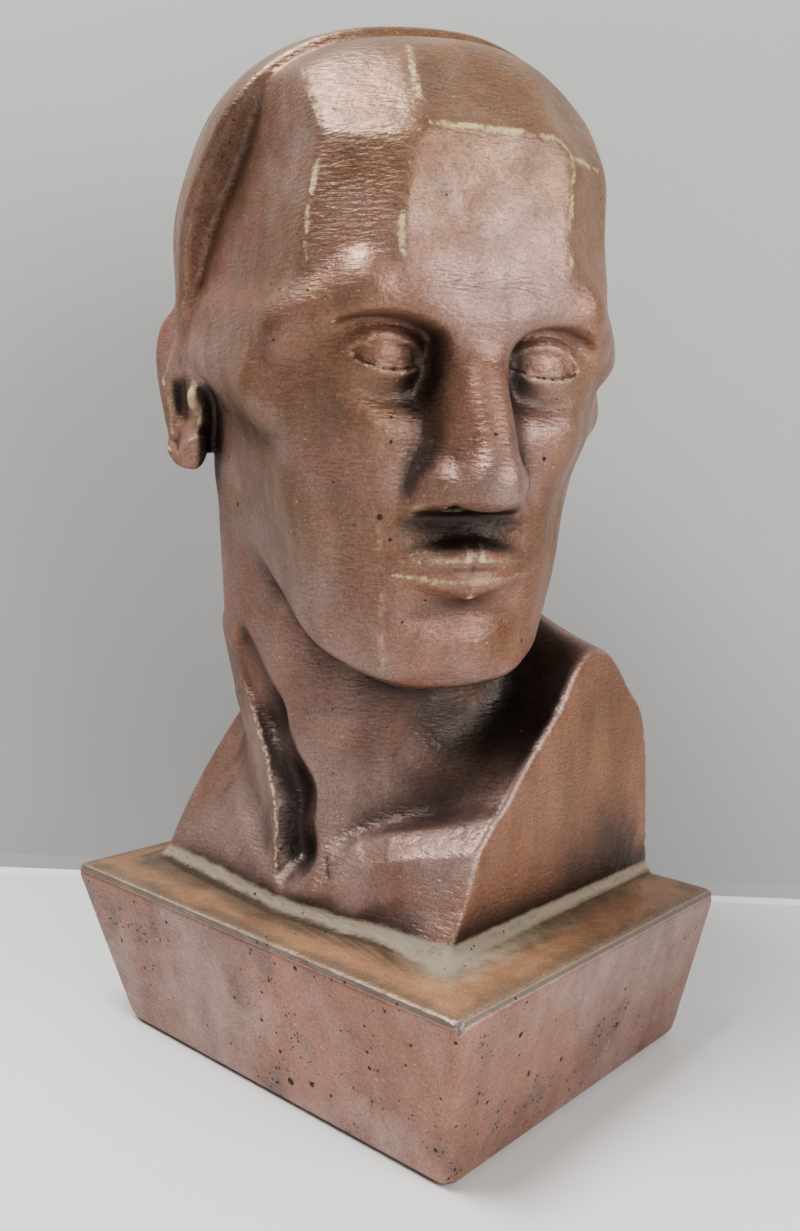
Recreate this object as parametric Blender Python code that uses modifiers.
"""A cast plaster bust: a bald head with broad carved planes, turned over one shoulder.

The head, the neck, the trunk cut off at the arms and the tapered plinth are one casting, so
they are one solid. Units are metres and +Z is up. The plinth's front is at -Y, the sitter's
left arm is at +X, and the origin is the middle of the plinth's underside.

The figure is worked out in parts, each a hundredth of the head's height. Its sculpted forms
are balls, bars and planes, each a function that tells how far points lie outside it, so that
forms are joined with soft fillets and cut with soft arrises. The surface where the distance
is nought is made into a mesh, thinned, and joined to the plinth.
"""

import math

import bmesh
import bpy
import numpy as np
from mathutils import Matrix, Vector

# Plinth: an upside-down truncated pyramid, its sides leaning in by their own amounts
PLINTH_WIDTH = 0.200
PLINTH_DEPTH = 0.171
PLINTH_HEIGHT = 0.0636
LEAN_RIGHT = 0.0222
LEAN_LEFT = 0.0124
LEAN_FRONT = 0.0142
LEAN_BACK = 0.0060
PLINTH_ROUNDING = 0.0022

# Figure: its back stands just inside the plinth's, and a cove runs round its foot
HEAD_HEIGHT = 0.219
FIGURE_SHIFT = -0.007
BACK_MARGIN = 0.0017
COVE = 0.006
COVE_LIP = 0.0004
COVE_INSET = 0.004
SUNK = 0.004

# The figure's forms, in parts from the middle of its back at the plinth's top
PART = HEAD_HEIGHT / 100
ARM_CUT = 34.5
NECK_FOOT = (-0.9, -31.4, 5.2)
NECK_TOP = (-9.4, -38.4, 72.3)
NECK_FOOT_RADIUS = 27.9
NECK_TOP_RADIUS = 24.7
NECK_PIT = (3.4, -57.6, 6.0)
THROAT = (-2.3, -52.0, 29.4)
THROAT_LINE = (
    (2.8, -55.0, 48.0),
    (3.6, -61.2, 33.0),
    (3.2, -58.6, 27.5),
    (5.4, -60.6, 14.0),
    (8.0, -63.0, 2.0),
)
FOLD_LINE = (
    (-22.4, -53.6, 60.0),
    (-22.6, -58.0, 48.0),
    (-17.0, -59.3, 37.0),
    (-8.0, -61.6, 24.7),
    (-3.6, -63.0, 16.2),
    (-1.6, -64.2, 6.0),
)
VALLEY = (
    ((1.2, -64.4, 4.0), 1.2),
    ((1.0, -63.4, 9.0), 3.0),
    ((-1.4, -61.8, 19.0), 2.9),
    ((-8.0, -61.2, 31.0), 2.4),
    ((-16.6, -60.2, 44.0), 0.8),
)
LEFT_COLLARBONE = (
    (7.0, -63.2, 3.0),
    (12.0, -63.6, 5.2),
    (16.6, -62.2, 9.8),
    (21.0, -61.0, 12.0),
    (36.0, -54.2, 15.6),
)
RIGHT_COLLARBONE = (
    (-2.0, -64.0, 4.0),
    (-9.0, -63.2, 6.2),
    (-15.0, -60.6, 9.6),
    (-22.0, -55.6, 15.0),
)
HEAD_MIDDLE = (-1.1, -40.9, 94.8)
HEAD_TURN = math.radians(62)
HEAD_NOD = math.radians(6)
UNEVENNESS = 0.32

# Mesh: the grid laid over the figure, and the triangles left after thinning
GRID = 0.0022
TRIANGLES = 9000


def join(a, b, blend):
    """The distance to two forms joined, with a fillet of about the blend's size between them."""
    share = np.clip(0.5 + 0.5 * (b - a) / blend, 0, 1)
    return b + (a - b) * share - blend * share * (1 - share)


def cut(a, b, blend):
    """The distance to what two forms have in common, with a soft arris between them."""
    return -join(-a, -b, blend)


def carve(a, b, blend):
    """The distance to the first form with the second one taken from it."""
    return cut(a, -b, blend)


def direction(azimuth, elevation):
    """Azimuth 0 points to -Y, to the front, and 90 to +X."""
    a, e = math.radians(azimuth), math.radians(elevation)
    return np.array((math.sin(a) * math.cos(e), -math.cos(a) * math.cos(e), math.sin(e)))


def facing(p, point, azimuth, elevation):
    """How far points lie in front of a plane. Azimuth 0 faces -Y, to the front, and 90 faces +X."""
    return (p - np.array(point)) @ direction(azimuth, elevation)


def ball(p, middle, radii, power=2):
    """The distance to an ellipsoid, nearly true close to its surface. A power over 2 squares it."""
    q = np.abs(p - np.array(middle)) / np.array(radii)
    size = (q**power).sum(1) ** (1 / power) + 1e-9
    slope = np.linalg.norm((q / size[:, None]) ** (power - 1) / np.array(radii), axis=1) + 1e-9
    return (size - 1) / slope


def bar(p, start, end, start_radius, end_radius):
    """The distance to a round bar between two points."""
    start, along = np.array(start, float), np.array(end, float) - np.array(start, float)
    share = np.clip((p - start) @ along / (along @ along), 0, 1)
    middle = start + share[:, None] * along
    return np.linalg.norm(p - middle, axis=1) - (start_radius + (end_radius - start_radius) * share)


def planes(p, faces, blend):
    """A body bounded by planes, each given as a point, an azimuth and an elevation."""
    found = facing(p, *faces[0])
    for face in faces[1:]:
        found = cut(found, facing(p, *face), blend)
    return found


def ridge(p, line, first, second, radius, inset, blend):
    """A bar along a line of points, cut by two planes that meet on the line in an arris. Each
    plane faces the way given, and the bar's axis lies inset from the arris."""
    offset, distance = None, None
    for start, end in zip(line, line[1:]):
        start, along = np.array(start, float), np.array(end, float) - np.array(start, float)
        share = np.clip((p - start) @ along / (along @ along), 0, 1)
        away = p - start - share[:, None] * along
        length = np.linalg.norm(away, axis=1)
        if offset is None:
            offset, distance = away, length
        else:
            nearer = length < distance
            offset, distance = np.where(nearer[:, None], away, offset), np.minimum(length, distance)
    faces = direction(*first), direction(*second)
    inward = -(faces[0] + faces[1]) / np.linalg.norm(faces[0] + faces[1])
    wedge = cut(offset @ faces[0], offset @ faces[1], blend)
    return cut(wedge, np.linalg.norm(offset - inset * inward, axis=1) - radius, blend)


def folded(p):
    """Points with both sides of the head laid over its left one."""
    return np.column_stack((np.abs(p[:, 0]), p[:, 1], p[:, 2]))


def bowed(p, bow):
    """Points moved so that a form drawn straight across the face bows round the mouth."""
    return np.column_stack((p[:, 0], p[:, 1] - bow * p[:, 0] ** 2, p[:, 2]))


def skull(p):
    """A full skull cut by the broad planes of the forehead and the temples."""
    mass = ball(p, (0, 1, 15), (35.0, 43, 35), 2.3)
    mass = cut(mass, facing(p, (33.2, 2, 12), 90, 4), 3)
    for point, azimuth, elevation in (
        ((0, -40.8, 8), 0, 9),
        ((19, -37.0, 8), 37, 9),
        ((0, -35.6, 33), 0, 42),
        ((16, -32.5, 32), 36, 38),
        ((26.8, -25, 10), 77, 7),
        ((0, 28, 42), 180, 58),
    ):
        mass = cut(mass, facing(p, point, azimuth, elevation), 1.1)
    return mass


def hair_cap(mass, p):
    """The hair is a smooth close cap, a low step that runs from above one ear over to the other."""
    cap = ball(p, (0, 1.5, 15), (36.8, 44.4, 36.7), 2.3)
    cap = cut(cap, facing(p, (0, 3.5, 8), 0, -23), 1.8)
    cap = cut(cap, facing(p, (0, 30, -17), 180, -70), 2)
    return join(mass, cap, 1.2)


def jaw_and_cheeks(mass, p):
    """The face below the brow: a block with flat cheeks, cheekbones and the angles of the jaw."""
    block = planes(
        p,
        (
            ((0, -38.6, 0), 0, 0),
            ((18.6, -34.6, -12), 46, -4),
            ((28.0, -14, -8), 83, -9),
            ((0, -37.5, -50), 180, -65),
            ((25.0, 1, -34), 140, -38),
            ((0, 7, 0), 180, 0),
            ((0, 0, 4), 0, 90),
        ),
        3,
    )
    mass = join(mass, block, 6)
    mass = join(mass, bar(p, (15.5, -31.4, -10.5), (26.4, -19, -7.5), 4.4, 3.6), 5)
    return join(mass, bar(p, (26.4, -19, -7.5), (30.4, 3, -3.5), 3.6, 2.4), 5)


def brow_and_sockets(mass, p):
    """Overhanging brows that turn down at the temples, and hollows for the eyes below them."""
    mass = join(mass, bar(p, (5.0, -37.2, 6.6), (17.0, -35.4, 8.2), 2.8, 2.7), 4)
    mass = join(mass, bar(p, (17.0, -35.4, 8.2), (26.6, -27.2, 1.5), 2.7, 2.2), 4)
    hollow = planes(
        p,
        (
            ((4.6, -38, 0), -104, 0),
            ((23.8, -32, -1), 120, -10),
            ((14, -37.4, -9.0), 180, -38),
            ((14, -33.0, 0), 172, 0),
        ),
        2.4,
    )
    arch = np.linalg.norm(p[:, [0, 2]] - (13.5, -9.8), axis=1) - 14.6
    return carve(mass, cut(hollow, arch, 2.4), 1.6)


def eyes(mass, p):
    """Plain eyeballs between an upper and a lower lid."""
    middle = (13.0, -29.2, -1.2)
    lids = ball(p, middle, (9.0, 7.8, 7.6))
    flat = p[:, [0, 2]]
    upper_arc = np.linalg.norm(flat - (12.8, -8.1), axis=1) - 9.4
    lower_arc = np.linalg.norm(flat - (12.8, 9.6), axis=1) - 12.3
    lids = carve(lids, cut(upper_arc, lower_arc, 0.3), 0.7)
    mass = join(mass, lids, 2.0)
    return join(mass, ball(p, middle, (8.0, 7.0, 6.8)), 0.4)


def nose(mass, p):
    """A wedge with a narrow bridge, flat sides and rounded wings."""
    wedge = planes(
        p,
        (
            ((0, -39.6, 3), 0, 29),
            ((2.4, -39.5, 3), 63, 14),
            ((0, -50.2, -17), 0, -8),
            ((0, -46, -21.4), 0, -74),
            ((0, -36, 7), 0, 80),
            ((0, -28, 0), 180, 0),
        ),
        1.8,
    )
    wedge = join(wedge, ball(p, (0, -46.2, -17.8), (4.3, 4.1, 3.7)), 2.4)
    wedge = join(wedge, ball(p, (5.0, -40.8, -18.4), (2.8, 5.1, 3.1)), 1.6)
    wedge = carve(wedge, ball(p, (3.6, -43.6, -21.6), (1.5, 2.6, 1.5)), 0.6)
    return join(mass, wedge, 1.6)


def mouth_and_chin(mass, p):
    """A rounded muzzle with closed lips, a crease below them and a broad chin."""
    mass = join(mass, ball(p, (0, -27.4, -31.5), (16.5, 13.2, 13.5)), 3.5)
    mass = join(mass, ball(p, (0, -33.4, -44.3), (11.5, 7.4, 6.6), 2.5), 2.5)
    mass = carve(mass, bar(p, (0, -43.2, -23.0), (0, -44.2, -27.0), 1.0, 1.4), 1.6)
    q = bowed(p, 0.024)
    mass = carve(mass, ball(q, (0, -43.0, -38.2), (9.5, 2.8, 2.4)), 2.2)
    mass = join(mass, bar(q, (1.1, -40.8, -29.4), (11.6, -41.0, -31.2), 2.3, 1.0), 1.4)
    mass = join(mass, bar(q, (0, -40.3, -33.5), (10.4, -40.9, -31.9), 2.6, 1.2), 1.4)
    return carve(mass, bar(q, (0, -43.5, -31.3), (11.8, -43.0, -31.5), 0.9, 0.6), 0.8)


def ears(mass, p):
    """An ear on each side: a tilted plate with a rolled rim, a hollow, a ridge in it and a lobe."""
    flare, tilt = math.radians(24), math.radians(12)
    q = p - np.array((33.6, 9.0, -8.0))
    out = q[:, 0] * math.cos(flare) - q[:, 1] * math.sin(flare)
    back = q[:, 0] * math.sin(flare) + q[:, 1] * math.cos(flare)
    up = back * math.sin(tilt) + q[:, 2] * math.cos(tilt)
    back = back * math.cos(tilt) - q[:, 2] * math.sin(tilt)
    q = np.column_stack((out, back / (1 + 0.018 * up), up))
    outline = ball(q * (0, 1, 1), (0, 0, 0), (30, 7.2, 13.4))
    plate = cut(outline, np.abs(q[:, 0]) - 1.7, 1.0)
    rim = np.hypot(outline + 0.6, q[:, 0] - 0.9) - 1.7
    rim = carve(rim, facing(q, (0, 0, -9), 0, -90), 2)
    plate = join(plate, rim, 0.8)
    plate = carve(plate, ball(q, (2.8, -1.8, -2.6), (3.2, 3.5, 5.0)), 0.8)
    plate = join(plate, bar(q, (0.9, 2.6, -7.5), (1.4, 2.4, 1.0), 1.4, 1.5), 0.9)
    plate = join(plate, bar(q, (1.4, 2.4, 1.0), (0.8, -1.4, 6.8), 1.5, 1.2), 0.9)
    plate = join(plate, ball(q, (1.2, -5.2, -3.2), (2.2, 1.9, 2.6)), 0.9)
    plate = join(plate, ball(q, (0.4, -2.2, -11.6), (1.9, 3.4, 3.4)), 1.2)
    plate = join(plate, ball(p, (31.6, 8.0, -8.0), (2.4, 5.0, 11.0)), 1.5)
    return join(mass, plate, 1.2)


def uneven(p):
    """Points moved a little, as planes worked by hand are never quite flat nor both sides alike."""
    waves = np.sin(p[:, [1, 2, 0]] * 0.17 + (0.4, 1.9, 3.1)) + 0.6 * np.sin(p[:, [2, 0, 1]] * 0.31 + (2.2, 0.7, 5.0))
    return p + UNEVENNESS * waves


def head(p):
    """The head at its own place and turn on the neck."""
    turn = Matrix.Rotation(HEAD_TURN, 3, "Z") @ Matrix.Rotation(HEAD_NOD, 3, "X")
    p = folded(uneven((p - np.array(HEAD_MIDDLE)) @ np.array(turn)))
    mass = skull(p)
    mass = hair_cap(mass, p)
    mass = jaw_and_cheeks(mass, p)
    mass = brow_and_sockets(mass, p)
    mass = mouth_and_chin(mass, p)
    mass = eyes(mass, p)
    mass = nose(mass, p)
    return ears(mass, p)


def on_head(x, y, z):
    """A place given from the head's middle, as a place on the figure."""
    turn = Matrix.Rotation(HEAD_TURN, 3, "Z") @ Matrix.Rotation(HEAD_NOD, 3, "X")
    return Vector(HEAD_MIDDLE) + turn @ Vector((x, y, z))


def neck(p):
    """A thick column, with the throat and a slack muscle on the side that the head turns to."""
    column = bar(p, NECK_FOOT, NECK_TOP, NECK_FOOT_RADIUS, NECK_TOP_RADIUS)
    column = join(column, bar(p, on_head(0, 30, -12), (-10.5, -17.7, 39.5), 10, 18.3), 9)
    column = join(column, bar(p, on_head(0, -16, -42), THROAT, 9.1, 6.8), 5.5)
    column = join(column, bar(p, THROAT, NECK_PIT, 6.8, 4.1), 4.6)
    return join(column, bar(p, on_head(23, 7.5, -20), NECK_PIT, 8, 3), 6)


def throat_and_fold(mass, p):
    """The front of the neck. The turn of the head stretches the sitter's right muscle into a
    sharp fold, with a deep valley between it and the throat."""
    mass = join(mass, ridge(p, THROAT_LINE, (-52, 0), (44, 0), 7, 5, 2.2), 2.6)
    mass = join(mass, bar(p, on_head(-20, 7, -12), (-17.6, -50.0, 47.0), 8.0, 9.4), 5.0)
    for (start, start_radius), (end, end_radius) in zip(VALLEY, VALLEY[1:]):
        mass = carve(mass, bar(p, start, end, start_radius, end_radius), 4.0)
    return join(mass, ridge(p, FOLD_LINE, (-34, 4), (70, 0), 6.4, 4.4, 0.5), 0.9)


def shoulders(p):
    """The chest, the slopes of the shoulders and the back, between the two arm cuts."""
    side = folded(p)
    body = planes(
        side,
        (
            ((0, -66.1, 0), 6, 24),
            ((0, -57.0, 14.8), 5, 38),
            ((0, -34.6, 35.3), 0, 51),
            ((0, -6.8, 34.2), 180, 61),
            ((0, -2.4, 26.1), 180, 29),
            ((0, 0, 1.1), 180, 7),
        ),
        2.3,
    )
    return join(body, bar(side, (0, -22.3, 46.8), (36.5, -22.7, 33.7), 11, 8.2), 6.4)


def collarbones(mass, p):
    """A ridge from each side of the pit of the neck up towards the arm cut."""
    mass = join(mass, ridge(p, LEFT_COLLARBONE, (12, 50), (14, 0), 5.0, 3.8, 0.6), 4.6)
    return join(mass, ridge(p, RIGHT_COLLARBONE, (4, 52), (-16, 4), 4.0, 3.2, 0.8), 3.4)


def figure(points):
    """Everything above the plinth, with a cove where it meets the plinth's top."""
    p = (points - np.array((FIGURE_SHIFT, PLINTH_DEPTH / 2 - BACK_MARGIN, PLINTH_HEIGHT))) / PART
    mass = join(shoulders(p), neck(p), 5.5)
    mass = throat_and_fold(mass, p)
    mass = collarbones(mass, p)
    mass = cut(mass, np.abs(p[:, 0]) - ARM_CUT, 1.2)
    mass = join(mass, head(p), 2.3) * PART
    edge = np.array((PLINTH_WIDTH, PLINTH_DEPTH)) / 2 - COVE_INSET
    slab = np.maximum((np.abs(points[:, :2]) - edge).max(1), points[:, 2] - PLINTH_HEIGHT + COVE_LIP)
    mass = join(mass, slab, COVE)
    return np.maximum(mass, PLINTH_HEIGHT - SUNK - points[:, 2])


def surface_of(form, low, high, step):
    """A closed mesh of a form's surface. A grid is laid over the form, each of its cells that the
    surface crosses gets one point, and the points round a crossed grid line make a face."""
    lines = [np.arange(a, b, step) for a, b in zip(low, high)]
    grid = np.stack(np.meshgrid(*lines, indexing="ij"), axis=-1)
    value = form(grid.reshape(-1, 3)).reshape(grid.shape[:3])
    cells = np.array(value.shape) - 1
    total, count = np.zeros((*cells, 3)), np.zeros(cells)
    crossed = []
    for axis in range(3):
        first, second = (axis + 1) % 3, (axis + 2) % 3
        ahead = np.roll(value, -1, axis)
        hit = (value < 0) != (ahead < 0)
        place = grid.copy()
        place[..., axis] += step * np.where(hit, value / np.where(hit, value - ahead, 1), 0)
        for i in (0, 1):
            for j in (0, 1):
                part = [slice(0, cells[axis])] * 3
                part[first] = slice(i, i + cells[first])
                part[second] = slice(j, j + cells[second])
                part = tuple(part)
                total += place[part] * hit[part][..., None]
                count += hit[part]
        crossed.append(np.argwhere(hit))
    used = count > 0
    number = np.cumsum(used).reshape(used.shape) - 1
    faces = []
    for axis, spots in enumerate(crossed):
        first, second = (axis + 1) % 3, (axis + 2) % 3
        ring = []
        for i, j in ((1, 1), (0, 1), (0, 0), (1, 0)):
            cell = spots.copy()
            cell[:, first] -= i
            cell[:, second] -= j
            ring.append(number[tuple(cell.T)])
        ring = np.stack(ring, axis=1)
        inward = value[tuple(spots.T)] > 0
        ring[inward] = ring[inward][:, ::-1]
        faces += ring.tolist()
    return total[used] / count[used][:, None], faces


def pull_onto(mesh, form, rounds):
    """Moves a mesh's points along the form's slope until they lie on its surface."""
    points = np.empty(len(mesh.vertices) * 3, np.float32)
    mesh.vertices.foreach_get("co", points)
    points = points.reshape(-1, 3).astype(float)
    step = 0.00005
    for _ in range(rounds):
        here = form(points)
        slope = np.column_stack([(form(points + step * axis) - here) / step for axis in np.eye(3)])
        points -= (here / np.maximum((slope**2).sum(1), 0.3))[:, None] * slope
    mesh.vertices.foreach_set("co", points.astype(np.float32).ravel())
    mesh.update()


def apply_modifiers(body):
    """Replaces an object's mesh by what its modifiers make of it."""
    graph = bpy.context.evaluated_depsgraph_get()
    made = bpy.data.meshes.new_from_object(body.evaluated_get(graph))
    body.modifiers.clear()
    body.data = made


def sculpted_figure(collection):
    """The figure as an object, its foot just under the plinth's top."""
    half_width, half_depth = PLINTH_WIDTH / 2, PLINTH_DEPTH / 2
    back = half_depth - BACK_MARGIN
    low = (
        min(FIGURE_SHIFT - 70 * PART, -half_width) - 2 * GRID,
        min(back - 84 * PART, -half_depth) - 2 * GRID,
        PLINTH_HEIGHT - SUNK - 2 * GRID,
    )
    high = (
        max(FIGURE_SHIFT + 70 * PART, half_width) + 2 * GRID,
        max(back, half_depth) + 2 * GRID,
        PLINTH_HEIGHT + 150 * PART,
    )
    points, faces = surface_of(figure, low, high, GRID)
    data = bpy.data.meshes.new("bust")
    data.from_pydata(points.tolist(), [], faces)
    bust = bpy.data.objects.new("bust", data)
    collection.objects.link(bust)
    even = bust.modifiers.new("even", "REMESH")
    even.mode = "VOXEL"
    even.voxel_size = GRID
    apply_modifiers(bust)
    pull_onto(bust.data, figure, 3)
    thin = bust.modifiers.new("thin", "DECIMATE")
    bust.data.calc_loop_triangles()
    thin.ratio = TRIANGLES / len(bust.data.loop_triangles)
    thin.use_collapse_triangulate = True
    apply_modifiers(bust)
    return bust


def plinth(collection):
    """A block whose four sides lean in towards the floor, with rounded arrises."""
    mesh = bmesh.new()
    size = Matrix.Diagonal((PLINTH_WIDTH, PLINTH_DEPTH, PLINTH_HEIGHT, 1))
    bmesh.ops.create_cube(mesh, size=1, matrix=Matrix.Translation((0, 0, PLINTH_HEIGHT / 2)) @ size)
    for corner in mesh.verts:
        if corner.co.z < PLINTH_HEIGHT / 2:
            corner.co.x += LEAN_RIGHT if corner.co.x < 0 else -LEAN_LEFT
            corner.co.y += LEAN_FRONT if corner.co.y < 0 else -LEAN_BACK
    bmesh.ops.bevel(
        mesh, geom=mesh.edges[:], offset=PLINTH_ROUNDING, segments=2, profile=0.5, affect="EDGES"
    )
    data = bpy.data.meshes.new("plinth")
    mesh.to_mesh(data)
    mesh.free()
    block = bpy.data.objects.new("plinth", data)
    collection.objects.link(block)
    return block


def plaster():
    """Cast plaster with a coppery patina."""
    material = bpy.data.materials.new("patinated_plaster")
    material.use_nodes = True
    shader = material.node_tree.nodes["Principled BSDF"]
    shader.inputs["Base Color"].default_value = (0.24, 0.115, 0.075, 1)
    shader.inputs["Roughness"].default_value = 0.42
    shader.inputs["Metallic"].default_value = 0.25
    return material


def main():
    for old in list(bpy.data.objects):
        bpy.data.objects.remove(old)
    bust_collection = bpy.data.collections.new("bust")
    bpy.context.scene.collection.children.link(bust_collection)

    bust = sculpted_figure(bust_collection)
    base = plinth(bust_collection)
    union = bust.modifiers.new("plinth", "BOOLEAN")
    union.operation = "UNION"
    union.object = base
    apply_modifiers(bust)
    bpy.data.objects.remove(base)

    bust.data.materials.clear()
    bust.data.materials.append(plaster())
    bust.data.shade_smooth()
    bust.data.set_sharp_from_angle(angle=math.radians(35))


main()
